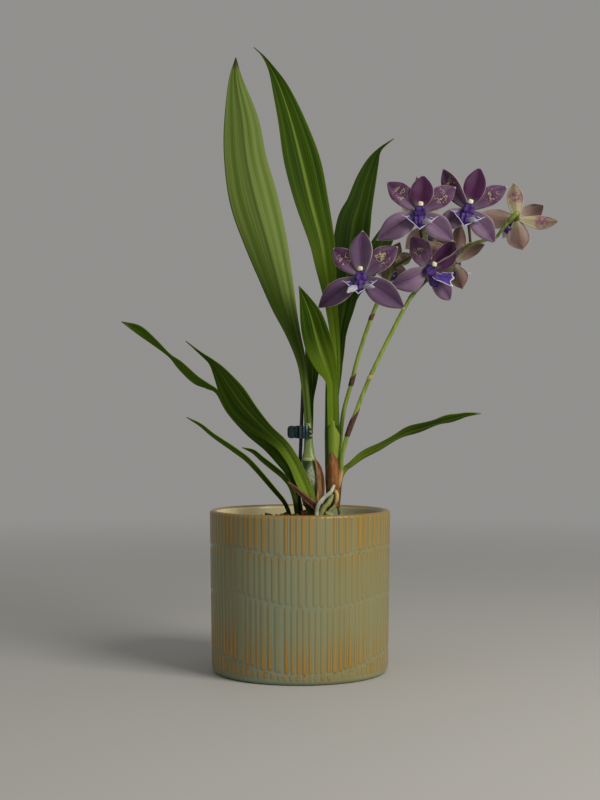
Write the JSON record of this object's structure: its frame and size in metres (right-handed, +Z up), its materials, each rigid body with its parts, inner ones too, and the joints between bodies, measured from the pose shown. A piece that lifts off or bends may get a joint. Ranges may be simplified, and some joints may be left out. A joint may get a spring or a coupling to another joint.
{
  "type": "potted orchid",
  "caption": "Flowering blue-violet orchid with long leaves and two arching flower spikes, clipped to a stake, in bark in a slotted, glazed stoneware cover pot.",
  "frame": {"origin": "centre of the cover pot's flat underside", "axes": "+Z up along the pot's axis, -Y towards the front from which the plant is seen, +X to the right, towards the flowers"},
  "size_m": [0.3344, 0.1344, 0.4772],
  "materials": {
    "glazed_stoneware": "glossy reactive glaze, sage green breaking to amber in the carved slots",
    "nursery_plastic": "thin black moulded plastic",
    "bark": "rough chipped bark",
    "bulb": "smooth green skin with a whitish scaly patch",
    "leaf": "satin pleated leaf, paler underneath",
    "stalk": "smooth waxy green stalk with brown sheaths",
    "dry_sheath": "dry papery brown sheath",
    "root": "pale spongy root skin",
    "tepal": "velvety plum violet with cream edges",
    "lip": "violet velvet with a white edge",
    "column": "violet column with a waxy cream cap",
    "stake_plastic": "near-black plastic-coated rod",
    "clip_plastic": "glossy dark teal moulded plastic",
    "spring_steel": "bright spring wire"
  },
  "bodies": {
    "orchid": {"cachepot": "glazed_stoneware", "nursery_pot": "nursery_plastic", "bark_medium": "bark", "rhizome": "stalk", "pseudobulb_mature": "bulb", "dry_sheath_mature": "dry_sheath", "dry_bract_left": "dry_sheath", "leaf_a": "leaf", "leaf_b": "leaf", "leaf_c": "leaf", "leaf_d": "leaf", "leaf_e": "leaf", "leaf_f": "leaf", "leaf_g": "leaf", "leaf_h": "leaf", "leaf_j": "leaf", "leaf_k": "leaf", "leaf_l": "leaf", "new_growth_sheath": "stalk", "dry_bract_new": "dry_sheath", "root_white": "root", "root_green": "root", "spike_low": "stalk", "spike_high": "stalk", "stake": "stake_plastic", "clip_fixed_jaw": "clip_plastic", "clip_spring": "spring_steel", "flower_1_perianth": "tepal", "flower_1_lip": "lip", "flower_1_column": "column", "flower_1_pedicel": "stalk", "flower_2_perianth": "tepal", "flower_2_lip": "lip", "flower_2_column": "column", "flower_2_pedicel": "stalk", "flower_3_perianth": "tepal", "flower_3_lip": "lip", "flower_3_column": "column", "flower_3_pedicel": "stalk", "flower_4_perianth": "tepal", "flower_4_lip": "lip", "flower_4_column": "column", "flower_4_pedicel": "stalk", "flower_5_perianth": "tepal", "flower_5_lip": "lip", "flower_5_column": "column", "flower_5_pedicel": "stalk", "flower_6_perianth": "tepal", "flower_6_lip": "lip", "flower_6_column": "column", "flower_6_pedicel": "stalk", "flower_7_perianth": "tepal", "flower_7_lip": "lip", "flower_7_column": "column", "flower_7_pedicel": "stalk", "flower_8_perianth": "tepal", "flower_8_lip": "lip", "flower_8_column": "column", "flower_8_pedicel": "stalk"},
    "clip_jaw": {"clip_moving_jaw": "clip_plastic"}
  },
  "joints": [
    {"name": "clip_hinge", "type": "hinge", "parent": "orchid", "child": "clip_jaw", "pos_m": [-0.0025, 0.0015, 0.1773], "axis": [0, 0, -1], "range_deg": [0, 35], "stiffness_Nm_per_rad": 0.004, "springref_deg": -20.05}
  ]
}
